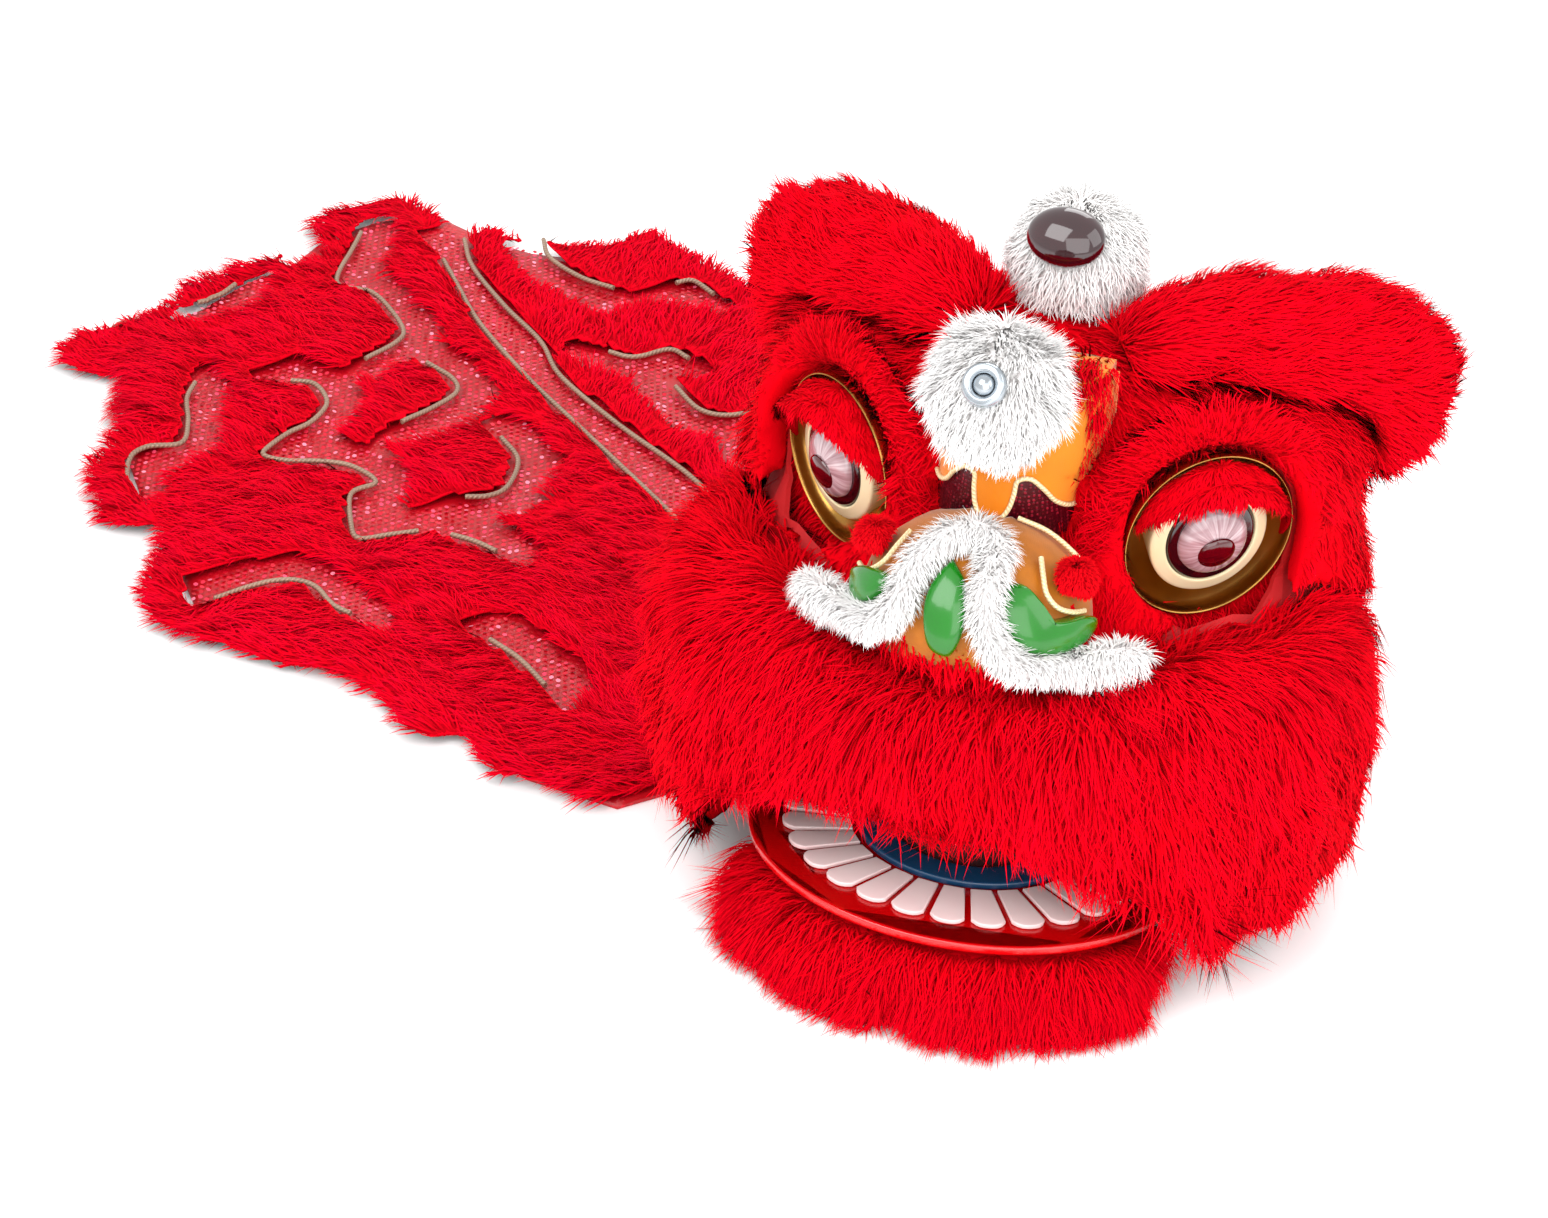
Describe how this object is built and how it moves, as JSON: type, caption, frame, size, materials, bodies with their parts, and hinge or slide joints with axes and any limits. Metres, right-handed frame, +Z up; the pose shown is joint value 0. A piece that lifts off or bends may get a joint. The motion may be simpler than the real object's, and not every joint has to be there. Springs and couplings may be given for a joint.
{
  "type": "lion dance head with its body cloth",
  "caption": "Child's lion dance head of a hollow shell under deep red fur, with dish eyes, eyelids, hinged jaw, paddle ears and a fur-banded body cloth laid behind it.",
  "frame": {"origin": "middle of the whole object's box, at the floor", "axes": "+Z up, the lion's face looks along -Y, the body cloth is swept towards -X and +Y"},
  "size_m": [1.0614, 0.863, 0.4158],
  "materials": {
    "red_fur": "deep red plush fur",
    "white_fur": "white plush fur",
    "shell_board": "red moulded board",
    "jaw_gloss": "glossy red board",
    "tooth_white": "pinkish white",
    "gum_blue": "deep blue",
    "mouth_red": "dark red",
    "dish_gold": "thin gold mirror film",
    "collar_cream": "cream",
    "eye_black": "black",
    "eye_grey": "grey pink dome",
    "pupil_maroon": "maroon",
    "lid_cloth": "red satin over card",
    "patent_green": "padded green patent",
    "maroon_sequins": "maroon sequin cloth",
    "orange_applique": "orange satin with piping",
    "clear_button": "clear over silver",
    "horn_gloss": "dark maroon gloss",
    "sequin_cloth": "crimson sequin mesh cloth"
  },
  "bodies": {
    "head": {"head_shell": "shell_board", "head_fur": "red_fur", "muzzle_fur": "red_fur", "hinge_boss_left": "shell_board", "hinge_boss_right": "shell_board", "nose_base": "red_fur", "nose_trim": "white_fur", "nose_pad_centre": "patent_green", "nose_pad_left": "patent_green", "nose_pad_right": "patent_green", "nose_pompom_left": "red_fur", "nose_pompom_right": "red_fur", "bridge_saddle": "maroon_sequins", "bridge_applique": "orange_applique", "mirror_pompom": "white_fur", "mirror_button": "clear_button", "horn_fur": "white_fur", "horn_button": "horn_gloss", "crest_fur": "white_fur", "ear_left": "red_fur", "ear_right": "red_fur", "eye_dish_left": "dish_gold", "eye_collar_left": "collar_cream", "eye_ring_left": "eye_black", "eye_ball_left": "eye_grey", "eye_pupil_left": "pupil_maroon", "eye_dish_right": "dish_gold", "eye_collar_right": "collar_cream", "eye_ring_right": "eye_black", "eye_ball_right": "eye_grey", "eye_pupil_right": "pupil_maroon", "body_cloth": "sequin_cloth", "spine_fur_left": "red_fur", "spine_fur_right": "red_fur", "fur_row_left_1": "red_fur", "fur_row_left_2": "red_fur", "fur_row_left_3": "red_fur", "fur_row_right_1": "red_fur", "fur_row_right_2": "red_fur"},
    "jaw": {"jaw_board": "jaw_gloss", "teeth": "tooth_white", "gum_bowl": "gum_blue", "mouth_floor": "mouth_red", "beard_fur": "red_fur"},
    "eyelid_left": {"eye_lid_left": "lid_cloth"},
    "eyelid_right": {"eye_lid_right": "lid_cloth"}
  },
  "joints": [
    {"name": "jaw_hinge", "type": "hinge", "parent": "head", "child": "jaw", "pos_m": [0.29247, -0.20909, 0.048], "axis": [-1, 0, 0], "range_deg": [0, 12]},
    {"name": "eyelid_left_hinge", "type": "hinge", "parent": "head", "child": "eyelid_left", "pos_m": [0.40747, -0.21909, 0.253], "axis": [0.7602, 0.6156, -0.2079], "range_deg": [0, 45]},
    {"name": "eyelid_right_hinge", "type": "hinge", "parent": "head", "child": "eyelid_right", "pos_m": [0.17747, -0.21909, 0.253], "axis": [0.7602, -0.6156, 0.2079], "range_deg": [0, 45]}
  ]
}
